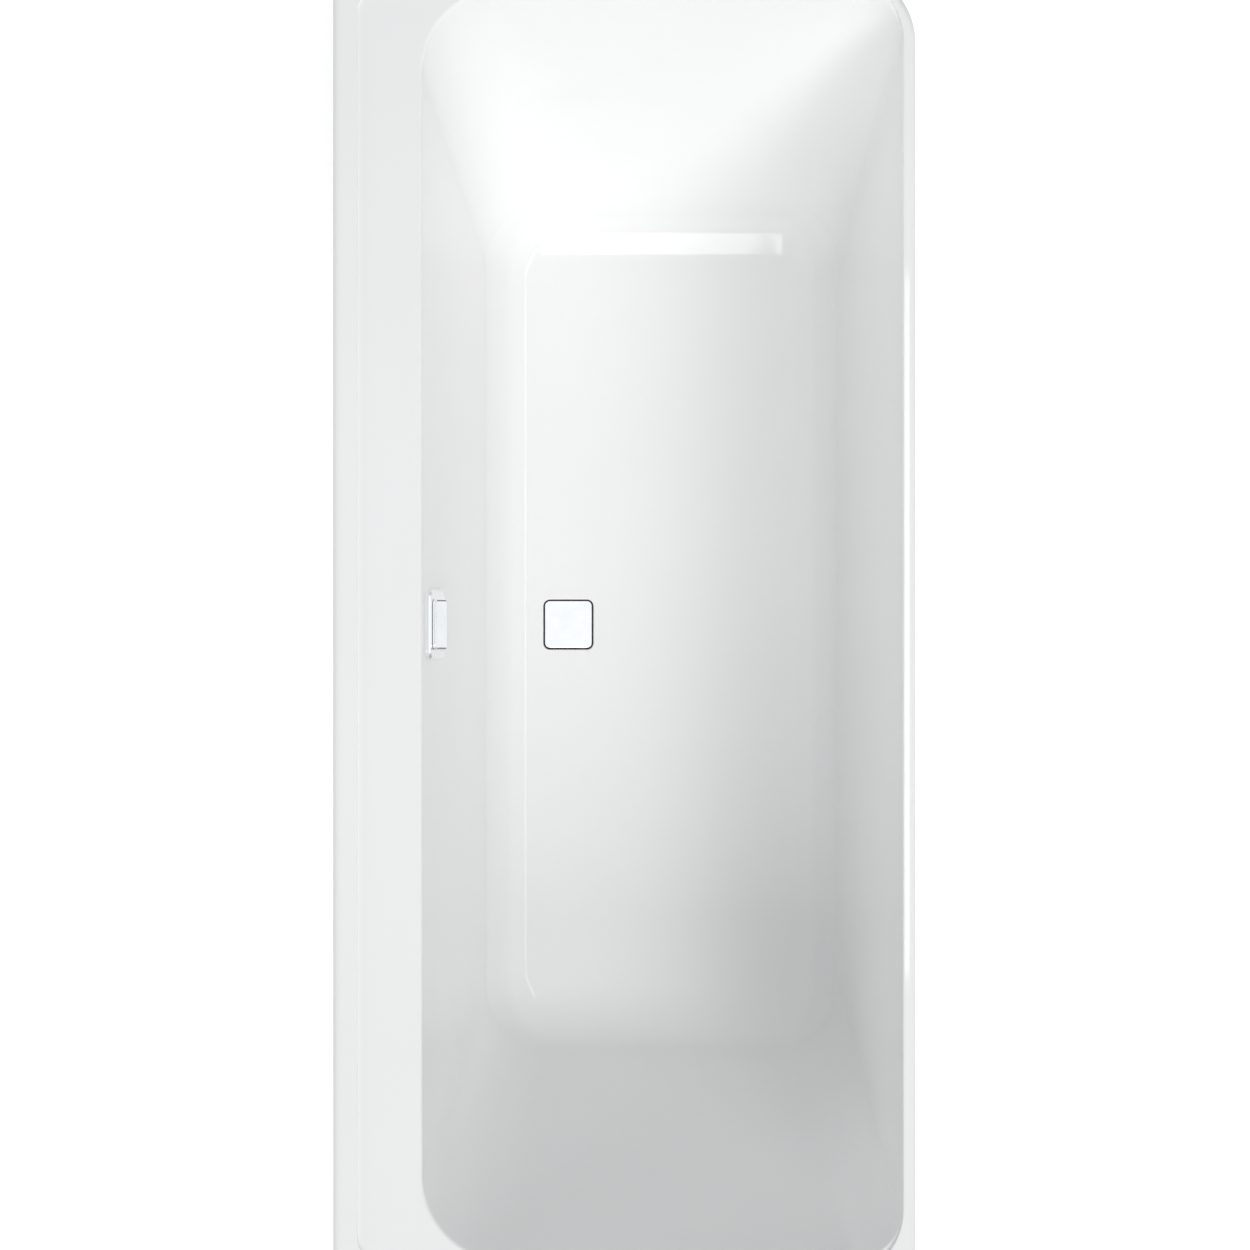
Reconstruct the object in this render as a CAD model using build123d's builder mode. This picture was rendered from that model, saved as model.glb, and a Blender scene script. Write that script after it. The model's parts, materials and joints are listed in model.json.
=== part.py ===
from build123d import *
from math import atan2, cos, degrees, radians, sin, sqrt, tan
import os

# Back-to-wall bathtub for a room corner, in millimetres.
# X runs along the tub, Y across it, +Z up. The long wall is at +Y, the end wall at -X,
# and the one free corner, at +X and -Y, is rounded. The floor is at Z = 0.

# Overall size and rim
tub_length = 1800.0
tub_width = 800.0
tub_height = 600.0
free_corner_radius = 100.0
edge_height = 6.0
wall_edge_width = 33.0
end_edge_width = 12.0
deck_wall_corner_radius = 50.0
deck_front_ledge = 2.0
rim_drop = 35.0
rim_skin = 5.0
rim_roundover = 7.0

# Basin
acrylic = 6.0
inside_floor_height = 144.0
front_rim_width = 18.0
wall_rim_width = 121.6
end_rim_width = 27.2
side_lean = 12.1
end_lean = 35.4
side_foot_radius = 63.0
end_foot_radius = 104.0
floor_corner_radius = 25.0
lip_wall_corner_radius = 115.0
lip_front_corner_radius = 70.0
foot_steps = 9

# Waste opening, its square recess and the square cover
drain_x = 0.0
drain_from_wall = 322.7
recess_size = 69.0
recess_corner_radius = 9.0
recess_depth = 8.0
recess_skin = 5.0
waste_hole_radius = 26.0
cover_size = 64.6
cover_corner_radius = 6.8
cover_thickness = 3.0
cover_edge_round = 0.6
gasket_inset = 0.5

# Waste fitting under the floor
seal_thickness = 2.0
flange_seal_thickness = 1.5
seal_inset = 0.5
flange_radius = 31.0
flange_thickness = 2.0
sleeve_radius = 24.0
sleeve_wall = 2.5
sleeve_length = 27.5
stem_radius = 4.0
stem_hub_radius = 7.0
stem_hub_height = 9.0
stem_hub_drop = 12.0
hub_arm_thickness = 3.0
waste_ring_radius = 38.0
waste_ring_thickness = 5.0
chamber_radius = 34.0
chamber_wall = 4.0
chamber_height = 50.0
chamber_roof = 9.0
chamber_floor = 4.0
dip_tube_radius = 19.0
dip_tube_wall = 2.5
dip_tube_length = 40.0
port_height = 30.0
port_length = 28.0
port_wall = 3.0

# Lever that lifts the cover, worked by the cable
lever_turn = 29.0
lever_arm = 18.0
lever_nose_radius = 3.0
lever_width = 8.0
lever_thickness = 4.5
lever_hub_radius = 5.0
lever_shaft_radius = 3.0
lever_bearing_radius = 6.0
lever_drop = 30.5
crank_arm = 14.0
crank_width = 7.0
crank_hub_radius = 6.0
crank_eye_wall = 2.5
crank_thickness = 3.0
crank_gap = 2.0
anchor_half = 6.0
anchor_thickness = 8.0
anchor_inset = 11.0
anchor_root = 16.0

# Trap
trap_radius = 42.0
trap_wall = 3.0
trap_depth = 56.0
trap_flange = 4.0
trap_nut_wall = 5.0
trap_nut_ribs = 12
trap_nut_rib_radius = 1.5
outlet_port_radius = 15.5
outlet_port_wall = 2.5
outlet_port_length = 20.0
outlet_collar_length = 7.0
outlet_collar_step = 1.0
outlet_pipe_radius = 20.0
outlet_bend_lead = 6.0
outlet_bend_radius = 32.0
outlet_tail = 45.0
outlet_nut_gap = 2.0

# Overflow and its square knob
overflow_depth = 80.0
overflow_hole_radius = 30.0
overflow_seal_width = 8.0
overflow_base_size = 97.0
overflow_base_corner = 18.0
overflow_base_thickness = 5.0
overflow_base_chamfer = 2.6
overflow_base_wall = 1.6
overflow_base_rim = 3.0
inlet_slot_length = 56.0
inlet_slot_height = 1.4
inlet_slot_rise = 0.8
inlet_slot_reach = 10.0
knob_size = 69.0
knob_corner_radius = 8.5
knob_thickness = 5.0
knob_edge_round = 1.2
knob_gap = 0.5
housing_radius = 33.0
housing_wall = 3.0
housing_depth = 44.0
housing_flange = 4.0
housing_flange_width = 10.0
spigot_length = 62.0
spigot_bore_start = 25.0
spindle_radius = 6.0
spindle_boss_radius = 12.0
spindle_in_knob = 3.0
spindle_tail_radius = 4.0
spindle_tail_length = 12.0
spindle_end_gap = 1.0
tail_socket_radius = 8.0
tail_socket_depth = 9.0
drum_radius = 22.0
drum_thickness = 8.0
drum_depth = 20.0
cable_boss_radius = 5.0
cable_boss_length = 44.0
overflow_screw_radius = 2.0
overflow_screw_head_radius = 4.0
overflow_screw_head_height = 2.2
overflow_screw_reach = 30.0
overflow_screw_place = 27.0
screw_boss_radius = 3.5
screw_post_radius = 5.5

# Hose and cable behind the wall
hose_radius = 18.0
hose_bore = 15.0
hose_axis_depth = 34.0
hose_bend_radius = 70.0
hose_start_gap = 9.0
hose_overlap = 20.0
clamp_width = 10.0
clamp_thickness = 2.4
clamp_inset = 4.0
sheath_radius = 2.5
sheath_socket = 4.0
sheath_bend_radius = 60.0
sheath_soft_radius = 300.0
sheath_shift_start = 100.0
sheath_clip_lead = 30.0
wire_radius = 0.8
wire_bore_length = 24.0
nipple_radius = 2.0
nipple_slack = 0.6
clip_width = 8.0
clip_ring = 2.0
clip_link = 3.0
upper_clip_run = 72.0
clip_bend_gap = 16.0

# Apron
apron_thickness = 4.0
apron_bottom = 12.0
apron_clip_thickness = 2.0
apron_clip_width = 40.0
apron_clip_bottom = 4.0
apron_clip_top = 60.0
apron_clip_foot = 20.0
front_clip_count = 4
end_clip_count = 2
clip_wall_gap = 150.0
clip_corner_gap = 75.0
foot_rail_width = 25.0
foot_rail_height = 20.0
foot_rail_round = 1.5

# Carrying frame
board_thickness = 16.0
board_margin = 18.0
board_cutout = 124.0
rail_width = 40.0
rail_height = 35.0
rail_wall = 2.5
rail_end_gap = 12.0
rail_from_board_end = 101.3
leg_inset = 40.0
rod_radius = 5.0
rod_above_rail = 22.0
rod_chamfer = 1.0
foot_pad_radius = 25.0
foot_pad_height = 18.0
foot_pad_socket = 10.0
foot_pad_edge_height = 5.0
foot_pad_neck_radius = 10.0
foot_pad_neck_height = 4.0
foot_pad_flare = 1.0
nut_flats = 17.0
nut_height = 8.0
rail_screw_radius = 2.0
rail_screw_length = 16.0
rail_screw_head_radius = 4.4
rail_screw_head_height = 2.0

# Rim battens and wall brackets
wall_batten_width = 45.0
wall_batten_height = 18.0
wall_batten_end_gap = 150.0
end_batten_height = 22.0
end_batten_gap = 1.25
end_batten_corner_gap = 8.2
bracket_width = 50.0
bracket_plate = 3.0
bracket_shelf = 30.0
bracket_drop = 60.0
bracket_pad_height = 5.0
bracket_pad_inset = 6.0
bracket_hole_drop = 35.0
bracket_hole_radius = 4.0
wall_bracket_count = 3
bracket_end_gap = 300.0
end_bracket_gap = 200.0

# Clearances
running_gap = 0.05
seat_gap = 0.3
seal_bore_gap = 0.2

# Places that follow from the sizes above
deck_z = tub_height - edge_height
floor_z = inside_floor_height
basin_depth = deck_z - floor_z
basin_length = tub_length - 2 * end_rim_width
basin_width = tub_width - front_rim_width - wall_rim_width
front_y = -tub_width / 2
wall_y = tub_width / 2
free_end_x = tub_length / 2
wall_end_x = -tub_length / 2
basin_y = front_y + front_rim_width + basin_width / 2
drain_y = wall_y - drain_from_wall
shell_bottom_z = floor_z - acrylic
recess_z = floor_z - recess_depth
recess_bottom_z = recess_z - recess_skin
rim_bottom_z = tub_height - rim_drop
deck_under_z = deck_z - acrylic


def run_out(height, foot_radius, lean, skin):
    """Distance from the flat floor's edge out to the wall, at a height above the inside floor."""
    radius = foot_radius + skin
    angle = radians(lean)
    knee = foot_radius - radius * sin(angle)
    if height <= knee:
        return sqrt(max(radius**2 - (foot_radius - height) ** 2, 0.0))
    return radius * cos(angle) + (height - knee) * tan(angle)


floor_half_length = basin_length / 2 - run_out(basin_depth, end_foot_radius, end_lean, 0)
floor_half_width = basin_width / 2 - run_out(basin_depth, side_foot_radius, side_lean, 0)


def corner_radius(height, lip_radius, skin):
    """Plan radius of a basin corner: it grows up the foot, then changes evenly to the lip."""
    knee = side_foot_radius - (side_foot_radius + skin) * sin(radians(side_lean))
    foot = floor_corner_radius + run_out(min(height, knee), side_foot_radius, side_lean, skin)
    if height <= knee:
        return foot
    share = (height - knee) / (basin_depth - knee)
    return foot + (lip_radius + skin - foot) * share


def basin_outline(height, skin):
    """Rounded rectangle of the basin at one height above its inside floor."""
    half_length = floor_half_length + run_out(height, end_foot_radius, end_lean, skin)
    half_width = floor_half_width + run_out(height, side_foot_radius, side_lean, skin)
    wall_radius = corner_radius(height, lip_wall_corner_radius, skin)
    front_radius = corner_radius(height, lip_front_corner_radius, skin)
    with BuildSketch(Plane.XY.offset(floor_z + height)) as outline:
        with BuildLine():
            FilletPolyline(
                (half_length, basin_y - half_width),
                (half_length, basin_y + half_width),
                (-half_length, basin_y + half_width),
                (-half_length, basin_y - half_width),
                radius=(front_radius, wall_radius, wall_radius, front_radius),
                close=True,
            )
        make_face()
    return outline.sketch


def basin_form(top_height, skin):
    """Solid of the basin's space: a rounded foot, then straight leaning walls."""
    foot_radius = side_foot_radius + skin
    knee_angle = 90.0 - side_lean
    heights = []
    for step in range(foot_steps):
        angle = radians(knee_angle * step / (foot_steps - 1))
        heights.append(side_foot_radius - foot_radius * cos(angle))
    with BuildPart() as form:
        loft([basin_outline(height, skin) for height in heights])
        loft([basin_outline(heights[-1], skin), basin_outline(top_height, skin)], ruled=True)
    return form.part


def corner_block(inset, x_low, y_high):
    """Plan outline of the tub, held in by inset at its free sides, with its one round corner."""
    x_high = free_end_x - inset
    y_low = front_y + inset
    with BuildSketch() as block:
        with Locations(((x_low + x_high) / 2, (y_low + y_high) / 2)):
            Rectangle(x_high - x_low, y_high - y_low)
        free_corner = block.vertices().sort_by(Axis.X)[-2:].sort_by(Axis.Y)[0]
        fillet(free_corner, free_corner_radius - inset)
    return block.sketch


def deck_outline():
    """Outline of the lower deck inside the raised edge. At the front only a ledge is left
    beside the basin's lip, and each front corner is a quarter ellipse."""
    low_y = front_y + front_rim_width - deck_front_ledge
    high_y = wall_y - wall_edge_width
    edge_x = free_end_x - end_edge_width
    turn_x = basin_length / 2 - lip_front_corner_radius
    turn_rise = lip_front_corner_radius + deck_front_ledge
    turn_y = low_y + turn_rise
    corner = deck_wall_corner_radius
    with BuildSketch() as outline:
        with BuildLine():
            Line((-turn_x, low_y), (turn_x, low_y))
            EllipticalCenterArc(
                (turn_x, turn_y), edge_x - turn_x, turn_rise, 270, arc_size=90
            )
            Line((edge_x, turn_y), (edge_x, high_y - corner))
            CenterArc((edge_x - corner, high_y - corner), corner, 0, 90)
            Line((edge_x - corner, high_y), (corner - edge_x, high_y))
            CenterArc((corner - edge_x, high_y - corner), corner, 90, 90)
            Line((-edge_x, high_y - corner), (-edge_x, turn_y))
            EllipticalCenterArc(
                (-turn_x, turn_y), edge_x - turn_x, turn_rise, 180, arc_size=90
            )
        make_face()
    return outline.sketch


def spread(first, last, count):
    """Evenly spaced places from the first to the last."""
    return [first + (last - first) * step / (count - 1) for step in range(count)]


def box_between(low, high):
    """Plain block from its low corner to its high corner, kept apart from any open part."""
    sizes = [high[axis] - low[axis] for axis in range(3)]
    centre = [(high[axis] + low[axis]) / 2 for axis in range(3)]
    return Pos(*centre) * Box(*sizes, mode=Mode.PRIVATE)


# Plane of the overflow: on the inside of the wall-side wall, Z into the basin, Y up the wall
overflow_z = deck_z - overflow_depth
overflow_wall_y = basin_y + floor_half_width + run_out(
    basin_depth - overflow_depth, side_foot_radius, side_lean, 0
)
into_basin = (0, -cos(radians(side_lean)), sin(radians(side_lean)))
overflow_plane = Plane(
    origin=(0, overflow_wall_y, overflow_z), x_dir=(1, 0, 0), z_dir=into_basin
)

basin_axis = Axis(overflow_plane.origin, overflow_plane.z_dir)

# Bath shell
with BuildPart() as bath_shell:
    with BuildSketch(Plane.XY.offset(rim_bottom_z)):
        add(corner_block(0, wall_end_x, wall_y))
    extrude(amount=rim_drop)
    with BuildSketch(Plane.XY.offset(rim_bottom_z)):
        add(corner_block(rim_skin, wall_end_x + rim_skin, wall_y - rim_skin))
    extrude(amount=deck_under_z - rim_bottom_z, mode=Mode.SUBTRACT)
    top_edges = bath_shell.faces().sort_by(Axis.Z)[-1].edges()
    fillet(top_edges, rim_roundover)
    with BuildSketch(Plane.XY.offset(deck_z)):
        add(deck_outline())
    extrude(amount=edge_height, mode=Mode.SUBTRACT)
    add(basin_form(basin_depth, acrylic))
    with BuildSketch(Plane.XY.offset(recess_bottom_z)):
        with Locations((drain_x, drain_y)):
            RectangleRounded(
                recess_size + 2 * recess_skin,
                recess_size + 2 * recess_skin,
                recess_corner_radius + recess_skin,
            )
    extrude(amount=floor_z - recess_bottom_z)
    add(basin_form(basin_depth + edge_height, 0), mode=Mode.SUBTRACT)
    with BuildSketch(Plane.XY.offset(recess_z)):
        with Locations((drain_x, drain_y)):
            RectangleRounded(recess_size, recess_size, recess_corner_radius)
    extrude(amount=recess_depth, mode=Mode.SUBTRACT)
    with BuildSketch(Plane.XY.offset(recess_bottom_z)):
        with Locations((drain_x, drain_y)):
            Circle(waste_hole_radius)
    extrude(amount=recess_skin, mode=Mode.SUBTRACT)
    with BuildSketch(overflow_plane):
        Circle(overflow_hole_radius)
    extrude(amount=3 * acrylic, both=True, mode=Mode.SUBTRACT)
bath_shell.part.label = "bath_shell"


# Base board, bonded under the floor
board_top_z = shell_bottom_z
board_bottom_z = board_top_z - board_thickness
board_half_length = floor_half_length - board_margin
board_half_width = floor_half_width - board_margin
rail_bottom_z = board_bottom_z - rail_height
web_bottom_z = board_bottom_z - rail_wall
rail_places = spread(
    rail_from_board_end - board_half_length, board_half_length - rail_from_board_end, 2
)
screw_places = [
    (place, basin_y + side * board_half_width / 2) for place in rail_places for side in (-1, 1)
]
with BuildPart() as base_board:
    with BuildSketch(Plane.XY.offset(board_bottom_z)):
        with Locations((0, basin_y)):
            Rectangle(2 * board_half_length, 2 * board_half_width)
        with Locations((drain_x, drain_y)):
            Rectangle(board_cutout, board_cutout, mode=Mode.SUBTRACT)
    extrude(amount=board_thickness)
    with BuildSketch(Plane.XY.offset(board_bottom_z)):
        with Locations(*screw_places):
            Circle(rail_screw_radius + running_gap)
    extrude(amount=rail_screw_length - rail_wall + seat_gap, mode=Mode.SUBTRACT)
base_board.part.label = "base_board"

# Battens bonded under the rim
batten_low_y = wall_y - wall_edge_width - wall_batten_width
batten_length = tub_length - 2 * wall_batten_end_gap
with BuildPart() as rim_batten_wall:
    with BuildSketch(Plane.XY.offset(deck_under_z - wall_batten_height)):
        with Locations((0, batten_low_y + wall_batten_width / 2)):
            Rectangle(batten_length, wall_batten_width)
    extrude(amount=wall_batten_height)
rim_batten_wall.part.label = "rim_batten_wall"

apron_inset = rim_skin + seat_gap
apron_inside = apron_inset + apron_thickness
basin_end_x = basin_length / 2 + acrylic / cos(radians(end_lean))
end_batten_x = (basin_end_x + free_end_x - apron_inside) / 2
end_batten_width = free_end_x - apron_inside - basin_end_x - 2 * end_batten_gap
end_batten_low_y = front_y + free_corner_radius + end_batten_corner_gap
end_batten_length = 2 * (basin_y - end_batten_low_y)
end_battens = {}
for name, side in (("rim_batten_head", 1), ("rim_batten_foot", -1)):
    with BuildPart() as end_batten:
        with BuildSketch(Plane.XY.offset(deck_under_z - end_batten_height)):
            with Locations((side * end_batten_x, basin_y)):
                Rectangle(end_batten_width, end_batten_length)
        extrude(amount=end_batten_height)
    end_batten.part.label = name
    end_battens[name] = end_batten.part

# Apron: one panel along the front, round the free corner and across the free end
apron_left_x = wall_end_x + apron_inset
apron_back_y = wall_y - apron_inset
with BuildPart() as apron:
    with BuildSketch(Plane.XY.offset(apron_bottom)):
        add(corner_block(apron_inset, apron_left_x, apron_back_y))
        add(corner_block(apron_inside, apron_left_x - 1, apron_back_y + 1), mode=Mode.SUBTRACT)
    extrude(amount=deck_under_z - apron_bottom)
apron.part.label = "apron"

# Floor rails behind the apron's foot, and the spring clips that hold it to them
rail_inset = apron_inside + apron_clip_thickness
front_rail_y = front_y + rail_inset
end_rail_x = free_end_x - rail_inset
corner_keep = free_corner_radius + foot_rail_width
with BuildPart() as floor_rail_front:
    add(
        box_between(
            (apron_left_x, front_rail_y, 0),
            (free_end_x - corner_keep, front_rail_y + foot_rail_width, foot_rail_height),
        )
    )
    fillet(floor_rail_front.edges().filter_by(Axis.X), foot_rail_round)
floor_rail_front.part.label = "floor_rail_front"

with BuildPart() as floor_rail_end:
    add(
        box_between(
            (end_rail_x - foot_rail_width, front_y + corner_keep, 0),
            (end_rail_x, apron_back_y, foot_rail_height),
        )
    )
    fillet(floor_rail_end.edges().filter_by(Axis.Y), foot_rail_round)
floor_rail_end.part.label = "floor_rail_end"

front_clip_places = spread(
    wall_end_x + clip_wall_gap, free_end_x - corner_keep - clip_corner_gap, front_clip_count
)
end_clip_places = spread(
    front_y + corner_keep + clip_corner_gap, wall_y - clip_wall_gap, end_clip_count
)
with BuildPart() as apron_clips:
    for place in front_clip_places:
        low_x = place - apron_clip_width / 2
        high_x = place + apron_clip_width / 2
        add(
            box_between(
                (low_x, front_y + apron_inside, apron_clip_bottom),
                (high_x, front_rail_y, apron_clip_top),
            )
        )
        add(
            box_between(
                (low_x, front_rail_y, foot_rail_height),
                (
                    high_x,
                    front_rail_y + apron_clip_foot,
                    foot_rail_height + apron_clip_thickness,
                ),
            )
        )
    for place in end_clip_places:
        low_y = place - apron_clip_width / 2
        high_y = place + apron_clip_width / 2
        add(
            box_between(
                (end_rail_x, low_y, apron_clip_bottom),
                (free_end_x - apron_inside, high_y, apron_clip_top),
            )
        )
        add(
            box_between(
                (end_rail_x - apron_clip_foot, low_y, foot_rail_height),
                (end_rail_x, high_y, foot_rail_height + apron_clip_thickness),
            )
        )
apron_clips.part.label = "apron_clips"

# Cross rails: channels open below, screwed up into the base board
rail_length = 2 * (basin_y - front_rail_y - foot_rail_width - rail_end_gap)
leg_offset = rail_length / 2 - leg_inset
cross_rails = {}
for name, place in (("cross_rail_head", rail_places[1]), ("cross_rail_foot", rail_places[0])):
    with BuildPart() as rail:
        add(
            box_between(
                (place - rail_width / 2, basin_y - rail_length / 2, rail_bottom_z),
                (place + rail_width / 2, basin_y + rail_length / 2, board_bottom_z),
            )
        )
        fillet(rail.edges().filter_by(Axis.Y).group_by(Axis.Z)[-1], rail_wall)
        add(
            box_between(
                (
                    place - rail_width / 2 + rail_wall,
                    basin_y - rail_length / 2,
                    rail_bottom_z,
                ),
                (
                    place + rail_width / 2 - rail_wall,
                    basin_y + rail_length / 2,
                    web_bottom_z,
                ),
            ),
            mode=Mode.SUBTRACT,
        )
        with BuildSketch(Plane.XY.offset(web_bottom_z)):
            with Locations((place, basin_y)):
                with GridLocations(0, board_half_width, 1, 2):
                    Circle(rail_screw_radius + running_gap)
                with GridLocations(0, 2 * leg_offset, 1, 2):
                    Circle(rod_radius + seat_gap)
        extrude(amount=rail_wall, mode=Mode.SUBTRACT)
    rail.part.label = name
    cross_rails[name] = rail.part

with BuildPart() as rail_screws:
    with BuildSketch(Plane.XY.offset(web_bottom_z)):
        with Locations(*screw_places):
            Circle(rail_screw_radius)
    extrude(amount=rail_screw_length)
    with BuildSketch(Plane.XY.offset(web_bottom_z - rail_screw_head_height)):
        with Locations(*screw_places):
            Circle(rail_screw_head_radius)
    extrude(amount=rail_screw_head_height)
rail_screws.part.label = "rail_screws"

# Legs: a threaded rod in a rubber-footed pad, held by a nut on each side of the rail's web
leg_places = [(place, basin_y + side * leg_offset) for place in rail_places for side in (-1, 1)]
nut_sets = {}
for name, low_z in (
    ("leg_nuts_upper", board_bottom_z),
    ("leg_nuts_lower", web_bottom_z - nut_height),
):
    with BuildPart() as nuts:
        with BuildSketch(Plane.XY.offset(low_z)):
            with Locations(*leg_places):
                RegularPolygon(nut_flats / 2, 6, major_radius=False)
                Circle(rod_radius + running_gap, mode=Mode.SUBTRACT)
        extrude(amount=nut_height)
    nuts.part.label = name
    nut_sets[name] = nuts.part

rod_top_z = board_bottom_z + rod_above_rail
rod_bottom_z = foot_pad_height - foot_pad_socket
legs = {}
for number, (leg_x, leg_y) in enumerate(leg_places, start=1):
    with BuildPart() as rod:
        with BuildSketch(Plane.XY.offset(rod_bottom_z)):
            with Locations((leg_x, leg_y)):
                Circle(rod_radius)
        extrude(amount=rod_top_z - rod_bottom_z)
        chamfer(rod.edges().group_by(Axis.Z)[-1], rod_chamfer)
    rod.part.label = f"leg_rod_{number}"
    legs[rod.part.label] = rod.part
    with BuildPart() as pad:
        with BuildSketch(Plane.XZ.offset(-leg_y)):
            with BuildLine():
                Polyline(
                    (leg_x, 0),
                    (leg_x + foot_pad_radius, 0),
                    (leg_x + foot_pad_radius, foot_pad_edge_height),
                    (
                        leg_x + foot_pad_neck_radius + foot_pad_flare,
                        foot_pad_height - foot_pad_neck_height,
                    ),
                    (leg_x + foot_pad_neck_radius, foot_pad_height),
                    (leg_x + rod_radius + running_gap, foot_pad_height),
                    (leg_x + rod_radius + running_gap, rod_bottom_z),
                    (leg_x, rod_bottom_z),
                    close=True,
                )
            make_face()
        revolve(axis=Axis((leg_x, leg_y, 0), (0, 0, 1)))
    pad.part.label = f"foot_pad_{number}"
    legs[pad.part.label] = pad.part

# Wall brackets under the rim's edge, with a rubber pad on each shelf
shelf_top_z = rim_bottom_z - bracket_pad_height
bracket_hole_z = shelf_top_z - bracket_hole_drop
wall_bracket_places = spread(
    wall_end_x + bracket_end_gap, free_end_x - bracket_end_gap, wall_bracket_count
)
brackets = {}
for number, place in enumerate(wall_bracket_places, start=1):
    low_x = place - bracket_width / 2
    high_x = place + bracket_width / 2
    with BuildPart() as bracket:
        add(
            box_between(
                (low_x, wall_y - bracket_plate, shelf_top_z - bracket_drop),
                (high_x, wall_y, shelf_top_z),
            )
        )
        add(
            box_between(
                (low_x, wall_y - bracket_shelf, shelf_top_z - bracket_plate),
                (high_x, wall_y, shelf_top_z),
            )
        )
        with BuildSketch(Plane.XZ.offset(-wall_y)):
            with Locations((place, bracket_hole_z)):
                Circle(bracket_hole_radius)
        extrude(amount=bracket_plate, mode=Mode.SUBTRACT)
    bracket.part.label = f"wall_bracket_{number}"
    brackets[bracket.part.label] = bracket.part

end_bracket_places = [front_y + end_bracket_gap, wall_y - end_bracket_gap]
with BuildPart() as end_brackets:
    for place in end_bracket_places:
        low_y = place - bracket_width / 2
        high_y = place + bracket_width / 2
        add(
            box_between(
                (wall_end_x, low_y, shelf_top_z - bracket_drop),
                (wall_end_x + bracket_plate, high_y, shelf_top_z),
            )
        )
        add(
            box_between(
                (wall_end_x, low_y, shelf_top_z - bracket_plate),
                (wall_end_x + bracket_shelf, high_y, shelf_top_z),
            )
        )
    with BuildSketch(Plane.YZ.offset(wall_end_x)):
        with Locations(*[(place, bracket_hole_z) for place in end_bracket_places]):
            Circle(bracket_hole_radius)
    extrude(amount=bracket_plate, mode=Mode.SUBTRACT)
end_brackets.part.label = "end_brackets"

with BuildPart() as bracket_pads:
    pad_reach = bracket_shelf - bracket_pad_inset
    for place in wall_bracket_places:
        add(
            box_between(
                (place - bracket_width / 2, wall_y - pad_reach, shelf_top_z),
                (place + bracket_width / 2, wall_y, rim_bottom_z),
            )
        )
    for place in end_bracket_places:
        add(
            box_between(
                (wall_end_x, place - bracket_width / 2, shelf_top_z),
                (wall_end_x + pad_reach, place + bracket_width / 2, rim_bottom_z),
            )
        )
bracket_pads.part.label = "bracket_pads"


def drain_ring(low_z, high_z, outer, inner):
    """Ring about the drain's upright axis, kept apart from any open part."""
    with BuildPart() as ring:
        with BuildSketch(Plane.XY.offset(low_z)):
            with Locations((drain_x, drain_y)):
                Circle(outer)
                if inner > 0:
                    Circle(inner, mode=Mode.SUBTRACT)
        extrude(amount=high_z - low_z)
    return ring.part


# Waste flange with its seal on the recess floor
flange_seal_z = recess_z + flange_seal_thickness
flange_top_z = flange_seal_z + flange_thickness
sleeve_bottom_z = flange_top_z - sleeve_length
hub_top_z = flange_top_z - stem_hub_drop
hub_bottom_z = hub_top_z - stem_hub_height
flange_seal_part = drain_ring(
    recess_z, flange_seal_z, flange_radius - seal_inset, waste_hole_radius + seal_bore_gap
)
flange_seal_part.label = "flange_seal"

with BuildPart() as waste_flange:
    add(drain_ring(flange_seal_z, flange_top_z, flange_radius, sleeve_radius - sleeve_wall))
    add(
        drain_ring(
            sleeve_bottom_z, flange_seal_z, sleeve_radius, sleeve_radius - sleeve_wall
        )
    )
    with BuildSketch(Plane.XY.offset(hub_top_z - hub_arm_thickness)):
        with Locations((drain_x, drain_y)):
            with PolarLocations(sleeve_radius / 2, 3, start_angle=90):
                Rectangle(sleeve_radius - sleeve_wall / 2, hub_arm_thickness)
    extrude(amount=hub_arm_thickness)
    add(drain_ring(hub_bottom_z, hub_top_z, stem_hub_radius, 0))
    add(
        drain_ring(hub_bottom_z, hub_top_z, stem_radius + running_gap, 0),
        mode=Mode.SUBTRACT,
    )
waste_flange.part.label = "waste_flange"

# Cover, its edge gasket and its stem, which rise together
with BuildPart() as cover_plate:
    with BuildSketch(Plane.XY.offset(floor_z - cover_thickness)):
        with Locations((drain_x, drain_y)):
            RectangleRounded(cover_size, cover_size, cover_corner_radius)
    extrude(amount=cover_thickness)
    fillet(cover_plate.faces().sort_by(Axis.Z)[-1].edges(), cover_edge_round)
cover_plate.part.label = "cover_plate"

gasket_bottom_z = flange_top_z + seat_gap
with BuildPart() as cover_gasket:
    with BuildSketch(Plane.XY.offset(gasket_bottom_z)):
        with Locations((drain_x, drain_y)):
            RectangleRounded(
                recess_size - 2 * gasket_inset,
                recess_size - 2 * gasket_inset,
                recess_corner_radius - gasket_inset,
            )
            Circle(stem_radius + running_gap, mode=Mode.SUBTRACT)
    extrude(amount=floor_z - cover_thickness - gasket_bottom_z)
cover_gasket.part.label = "cover_gasket"

# The lever swings evenly about level, so its nose rises as the stem does
chamber_top_z = recess_bottom_z - seal_thickness
pivot_y = drain_y - lever_arm
pivot_z = chamber_top_z - lever_drop
half_turn = radians(lever_turn / 2)
nose_top_z = pivot_z - lever_arm * sin(half_turn) + lever_nose_radius
stem_bottom_z = nose_top_z + seat_gap
plug_stem_part = drain_ring(stem_bottom_z, floor_z - cover_thickness, stem_radius, 0)
plug_stem_part.label = "plug_stem"

# Waste body: a chamber under the floor with an overflow port and a dip tube
body_seal_part = drain_ring(
    chamber_top_z, recess_bottom_z, waste_ring_radius, waste_hole_radius + seal_bore_gap
)
body_seal_part.label = "waste_body_seal"

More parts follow.
